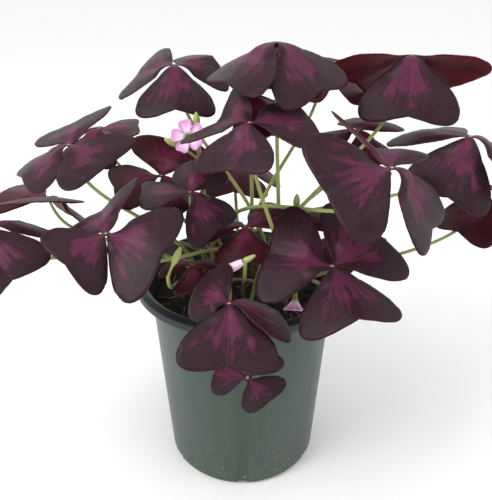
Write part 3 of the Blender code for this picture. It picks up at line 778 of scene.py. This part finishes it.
@dataclass
class Blooms:
    """The pink flowers: two open like funnels, and one still rolled up."""

    flowers: tuple[Flower, ...] = (
        Flower((-26, 5, 195), (-27.5, -3, 200), 9.0),
        Flower((6.5, -54, 157.5), (-13, -54, 146), 2.4),
        Flower((27, -46, 138), (26, -53, 127), 5.5),
    )
    petal: float = 0.4 * MM
    columns: int = 100
    rows: int = 16
    share_stops: Stops = ((0.0, 0.34), (0.33, 0.62), (0.67, 0.86), (1.0, 1.0))
    open_stops: Stops = ((0.0, 0.12), (0.33, 0.24), (0.67, 0.62), (1.0, 1.0))
    rim_stops: Stops = ((0.0, 0.42), (0.1, 0.80), (0.28, 1.0), (0.5, 0.95), (0.72, 1.0), (0.9, 0.80),
                        (1.0, 0.42))
    closed_stops: Stops = ((0.0, 1.5), (0.25, 2.2), (0.6, 2.15), (0.85, 1.4), (1.0, 0.35))
    closed_from: float = 0.29
    anther: float = 0.9 * MM

    def place_open(self, flower: Flower, turn: float, out: float, length: float) -> Vector:
        """Finds a point of an open flower.

        Args:
            flower: The flower.
            turn: Share of the way round.
            out: Share of the way from the throat to the rim.
            length: The flower's length.

        Returns:
            The point, with the flower along +Z.
        """
        within = turn * 5 % 1.0
        spread = smooth_through(self.open_stops, out)
        blend = min(1.0, max(0.0, (spread - 0.24) / 0.38))
        reach = 1.0 + (smooth_through(self.rim_stops, within) - 1.0) * blend
        radius = flower.radius * MM * spread * reach
        angle = 2 * math.pi * turn
        return Vector((radius * math.cos(angle), radius * math.sin(angle),
                       length * smooth_through(self.share_stops, out)))

    def place_closed(self, flower: Flower, turn: float, out: float, length: float) -> Vector:
        """Finds a point of a rolled flower, whose petals wind round each other.

        Args:
            flower: The flower; not used.
            turn: Share of the way round.
            out: Share of the way to the tip.
            length: The flower's length.

        Returns:
            The point, with the flower along +Z.
        """
        wound = turn + out * 0.35
        furrow = 1.0 - 0.12 * abs(math.cos(math.pi * 5 * wound)) ** 8
        radius = smooth_through(self.closed_stops, out) * MM * furrow
        angle = 2 * math.pi * turn
        share = self.closed_from + (1.0 - self.closed_from) * out
        return Vector((radius * math.cos(angle), radius * math.sin(angle), length * share))

    def mesh(self, flower: Flower, name: str) -> bpy.types.Mesh:
        """Models a flower from a grid that is wrapped round and closed at its seam.

        Args:
            flower: The flower.
            name: The mesh's name.

        Returns:
            The mesh, in place.
        """
        place, length = flower.frame()
        is_open = flower.radius > 4.0
        shape: Callable[..., Vector] = self.place_open if is_open else self.place_closed
        bm = bmesh.new()
        uv_of = {}
        grid = bmesh.ops.create_grid(bm, x_segments=self.columns, y_segments=self.rows, size=1.0)
        for vert in grid["verts"]:
            turn, out = (vert.co.x + 1.0) / 2.0, (vert.co.y + 1.0) / 2.0
            vert.co = place @ shape(flower, turn % 1.0 if turn < 0.9999 else 0.0, out, length)
            uv_of[vert] = (turn, out if is_open else 0.5 + 0.5 * out)
        layer = bm.loops.layers.uv.new("leaflet")
        for face in bm.faces:
            for loop in face.loops:
                loop[layer].uv = uv_of[loop.vert]
        bmesh.ops.remove_doubles(bm, verts=bm.verts[:], dist=0.001 * MM)
        ends = [edge for edge in bm.edges if edge.is_boundary]
        if is_open:
            low = place @ Vector((0.0, 0.0, length * self.share_stops[0][1]))
            ends = [edge for edge in ends if (edge.verts[0].co - low).length < 0.2 * flower.radius * MM]
            bmesh.ops.create_icosphere(bm, subdivisions=2, radius=self.anther, matrix=(
                place @ Matrix.Translation((0, 0, length * 0.62)) @ Matrix.Diagonal((1, 1, 1.8, 1))))
        bmesh.ops.holes_fill(bm, edges=ends, sides=0)
        bmesh.ops.recalc_face_normals(bm, faces=bm.faces[:])
        return to_mesh(bm, name)

    def build(self) -> None:
        """Makes every flower."""
        for number, flower in enumerate(self.flowers, 1):
            name = f"bloom_{number}"
            piece = finish_piece(f"{name}_petals", self.mesh(flower, name), (PETAL_SKIN,),
                                 (name,))
            if flower.radius > 4.0:
                thicken(piece, self.petal)


@dataclass
class Pot:
    """The thin-walled pot: a section turned round, with drain notches at its foot."""

    height: float = 120 * MM
    rim: float = 60 * MM
    mouth: float = 53 * MM
    shoulder: float = 51.5 * MM
    base: float = 44.5 * MM
    wall: float = 1.4 * MM
    floor: float = 1.8 * MM
    steps: int = 144
    notches: int = 6
    notch: float = 5 * MM

    def section(self) -> list[tuple[float, float]]:
        """The wall in section, from the inside's middle over the rim to the underside's middle."""
        top = self.height
        return [
            (0.0, self.floor),
            (self.base - self.wall, self.floor),
            (self.shoulder - self.wall, top - 13 * MM),
            (self.mouth - self.wall, top - 6 * MM),
            (self.mouth + 1.5 * MM, top - 0.8 * MM),
            (self.mouth + 3.5 * MM, top),
            (self.rim - 2 * MM, top - 0.8 * MM),
            (self.rim - 0.4 * MM, top - 1.4 * MM),
            (self.rim, top - 2.5 * MM),
            (self.rim, top - 5 * MM),
            (self.rim - 1.5 * MM, top - 5 * MM),
            (self.rim - 3 * MM, top - 3 * MM),
            (self.mouth + 2 * MM, top - 3 * MM),
            (self.shoulder, top - 12 * MM),
            (self.base, 3 * MM),
            (self.base - 2 * MM, 0.0),
            (0.0, 0.0),
        ]

    def mesh(self) -> bpy.types.Mesh:
        """Spins the section into a closed pot."""
        bm = bmesh.new()
        verts = [bm.verts.new((x, 0.0, z)) for x, z in self.section()]
        edges = [bm.edges.new(pair) for pair in zip(verts, verts[1:])]
        bmesh.ops.spin(bm, geom=verts + edges, cent=(0, 0, 0), axis=(0, 0, 1), angle=2 * math.pi,
                       steps=self.steps, use_merge=True)
        bmesh.ops.remove_doubles(bm, verts=bm.verts[:], dist=0.01 * MM)
        bmesh.ops.recalc_face_normals(bm, faces=bm.faces[:])
        return to_mesh(bm, "pot")

    def notch_mesh(self) -> bpy.types.Mesh:
        """Models the pegs that cut the drain notches."""
        bm = bmesh.new()
        for number in range(self.notches):
            angle = 2 * math.pi * (number + 0.5) / self.notches
            place = Matrix.Rotation(angle, 4, "Z") @ Matrix.Translation((self.base, 0, 0))
            bmesh.ops.create_cone(bm, cap_ends=True, segments=32, radius1=self.notch,
                                  radius2=self.notch * 0.7, depth=8 * MM, matrix=place)
        return to_mesh(bm, "notches")

    def build(self) -> None:
        """Makes the pot, with its notches cut and its edges rounded."""
        body = bpy.data.objects.new("pot_body", self.mesh())
        cutter = bpy.data.objects.new("notches", self.notch_mesh())
        for obj in (body, cutter):
            bpy.context.scene.collection.objects.link(obj)
        cut = body.modifiers.new("cut", "BOOLEAN")
        cut.object = cutter
        cut.operation = "DIFFERENCE"
        bpy.context.view_layer.update()
        mesh = bpy.data.meshes.new_from_object(body.evaluated_get(bpy.context.evaluated_depsgraph_get()))
        bpy.data.objects.remove(body)
        bpy.data.objects.remove(cutter)
        piece = finish_piece("nursery_pot", mesh, (POT_SKIN,), ("pot",))
        mesh.set_sharp_from_angle(angle=math.radians(40))
        rounded = piece.modifiers.new("edges", "BEVEL")
        rounded.width = 0.25 * MM
        rounded.segments = 2
        rounded.limit_method = "ANGLE"
        rounded.angle_limit = math.radians(35)


@dataclass
class Soil:
    """The rough crown of soil in the pot, with loose crumbs and pale root fibres on it."""

    level: float = 106 * MM
    crown: float = 2.5 * MM
    bottom: float = 2.1 * MM
    bottom_radius: float = 42.7 * MM
    radius: float = 49.6 * MM
    rings: int = 60
    steps: int = 160
    crumbs: int = 420
    fibres: int = 46
    seed: int = 7
    random_source: random.Random = field(init=False)

    def __post_init__(self) -> None:
        """Seeds the random source."""
        self.random_source = random.Random(self.seed)

    def height(self, x: float, y: float) -> float:
        """Gives the rough surface's height.

        Args:
            x: Place along X.
            y: Place along Y.

        Returns:
            The height.
        """
        share = min(1.0, math.hypot(x, y) / self.radius)
        lumps = noise.noise(Vector((x, y, 0.0)) * 160.0) * 1.1
        lumps += noise.noise(Vector((x, y, 9.0)) * 520.0) * 0.6
        return self.level + self.crown * (1.0 - share * share) + (lumps - 0.3) * MM * (1.0 - share**12)

    def body_mesh(self) -> bpy.types.Mesh:
        """Spins the soil's section and roughens its crown."""
        bm = bmesh.new()
        section = [(0.0, self.bottom), (self.bottom_radius, self.bottom), (self.radius, self.level)]
        section += [(self.radius * (1.0 - i / self.rings), self.level) for i in range(1, self.rings + 1)]
        verts = [bm.verts.new((x, 0.0, z)) for x, z in section]
        edges = [bm.edges.new(pair) for pair in zip(verts, verts[1:])]
        bmesh.ops.spin(bm, geom=verts + edges, cent=(0, 0, 0), axis=(0, 0, 1), angle=2 * math.pi,
                       steps=self.steps, use_merge=True)
        bmesh.ops.remove_doubles(bm, verts=bm.verts[:], dist=0.01 * MM)
        for vert in bm.verts:
            if vert.co.z > self.level - MM:
                vert.co.z = self.height(vert.co.x, vert.co.y)
        bmesh.ops.recalc_face_normals(bm, faces=bm.faces[:])
        return to_mesh(bm, "soil")

    def spot(self) -> Vector:
        """Picks a random place on the crown."""
        angle = self.random_source.uniform(0, 2 * math.pi)
        radius = (self.radius - 2.5 * MM) * math.sqrt(self.random_source.random())
        x, y = radius * math.cos(angle), radius * math.sin(angle)
        return Vector((x, y, self.height(x, y)))

    def crumbs_mesh(self) -> bpy.types.Mesh:
        """Models the loose crumbs as squashed, turned small stones."""
        bm = bmesh.new()
        pick = self.random_source.uniform
        for _ in range(self.crumbs):
            turn = Matrix.Rotation(pick(0, 6.28), 4, "Z") @ Matrix.Rotation(pick(-0.6, 0.6), 4, "X")
            shape = Matrix.Diagonal((pick(0.7, 1.5), pick(0.7, 1.3), pick(0.5, 0.9), 1))
            bmesh.ops.create_icosphere(bm, subdivisions=1, radius=pick(0.4, 1.2) * MM,
                                       matrix=Matrix.Translation(self.spot()) @ turn @ shape)
        return to_mesh(bm, "crumbs")

    def fibres_mesh(self) -> bpy.types.Mesh:
        """Models the fibres as thin bent threads that lie on the crown."""
        curve = bpy.data.curves.new("fibres", "CURVE")
        curve.dimensions = "3D"
        curve.bevel_depth = 0.22 * MM
        curve.bevel_resolution = 1
        curve.use_fill_caps = True
        pick = self.random_source.uniform
        for _ in range(self.fibres):
            spot, angle, length = self.spot(), pick(0, 6.28), pick(4, 12) * MM
            spline = curve.splines.new("POLY")
            spline.points.add(5)
            for index, point in enumerate(spline.points):
                angle += pick(-0.35, 0.35)
                step = length / 5 if index else 0.0
                spot = spot + Vector((math.cos(angle), math.sin(angle), 0.0)) * step
                inside = min(1.0, (self.radius - MM) / max(1e-6, math.hypot(spot.x, spot.y)))
                x, y = spot.x * inside, spot.y * inside
                point.co = (x, y, self.height(x, y) + pick(0.2, 1.0) * MM, 1.0)
        threads = bpy.data.objects.new("fibres", curve)
        bpy.context.scene.collection.objects.link(threads)
        bpy.context.view_layer.update()
        graph = bpy.context.evaluated_depsgraph_get()
        mesh = bpy.data.meshes.new_from_object(threads.evaluated_get(graph))
        bpy.data.objects.remove(threads)
        bm = bmesh.new()
        bm.from_mesh(mesh)
        bmesh.ops.remove_doubles(bm, verts=bm.verts[:], dist=0.001 * MM)
        return to_mesh(bm, "root_fibres")

    def build(self) -> None:
        """Makes the soil and what lies on it."""
        finish_piece("soil_crown", self.body_mesh(), (SOIL_FACE,), ("soil",))
        finish_piece("soil_crumbs", self.crumbs_mesh(), (SOIL_FACE,))
        finish_piece("root_fibres", self.fibres_mesh(), (FIBRE_SKIN,))


@dataclass
class Studio:
    """The camera, a plain pale floor and soft light."""

    eye: tuple[float, float, float] = (0.0024, -0.311, 0.288)
    pitch: float = 63.6
    lens: float = 44.5
    aim: tuple[float, float, float] = (0.0, 0.0, 0.15)
    key_watts: float = 10.0
    fill_watts: float = 1.5

    def add_camera(self) -> None:
        """Sets the camera where the photograph was taken from."""
        data = bpy.data.cameras.new("camera")
        data.sensor_fit = "VERTICAL"
        data.sensor_height = 36.0
        data.lens = self.lens
        data.clip_start = 0.01
        camera = bpy.data.objects.new("camera", data)
        camera.location = self.eye
        camera.rotation_euler = (math.radians(self.pitch), 0.0, 0.0)
        bpy.context.scene.collection.objects.link(camera)
        bpy.context.scene.camera = camera

    def add_light(self, name: str, spot: Vector, size: float, energy: float) -> None:
        """Adds a broad soft light that looks at the plant.

        Args:
            name: Its name.
            spot: Where it hangs.
            size: How wide it is.
            energy: Its power in watts.
        """
        data = bpy.data.lights.new(name, "AREA")
        data.size = size
        data.energy = energy
        light = bpy.data.objects.new(name, data)
        light.location = spot
        light.rotation_euler = (Vector(self.aim) - spot).to_track_quat("-Z", "Y").to_euler()
        bpy.context.scene.collection.objects.link(light)

    def build(self) -> None:
        """Makes the floor, the light and the camera."""
        bm = bmesh.new()
        bmesh.ops.create_grid(bm, x_segments=1, y_segments=1, size=4.0)
        floor = bpy.data.objects.new("floor", to_mesh(bm, "floor"))
        bpy.context.scene.collection.objects.link(floor)
        material = bpy.data.materials.new("pale_floor")
        material.use_nodes = True
        shader = material.node_tree.nodes["Principled BSDF"]
        shader.inputs["Base Color"].default_value = linear("F6F6F6")
        shader.inputs["Roughness"].default_value = 0.9
        floor.data.materials.append(material)
        world = bpy.data.worlds.new("soft_room")
        world.use_nodes = True
        world.node_tree.nodes["Background"].inputs[0].default_value = linear("FFFFFF")
        world.node_tree.nodes["Background"].inputs[1].default_value = 1.0
        bpy.context.scene.world = world
        self.add_light("key", Vector((-0.7, -0.6, 1.1)), 0.6, self.key_watts)
        self.add_light("fill", Vector((0.9, -0.4, 0.8)), 0.8, self.fill_watts)
        bpy.context.scene.view_settings.view_transform = "Standard"
        self.add_camera()


def main() -> None:
    """Builds every part of the plant in order."""
    logging.basicConfig(level=logging.INFO, format="%(message)s")
    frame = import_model()
    Studio().build()
    Pot().build()
    Soil().build()
    Stems(frame).build()
    Foliage().build()
    Blooms().build()


if __name__ == "__main__":
    main()
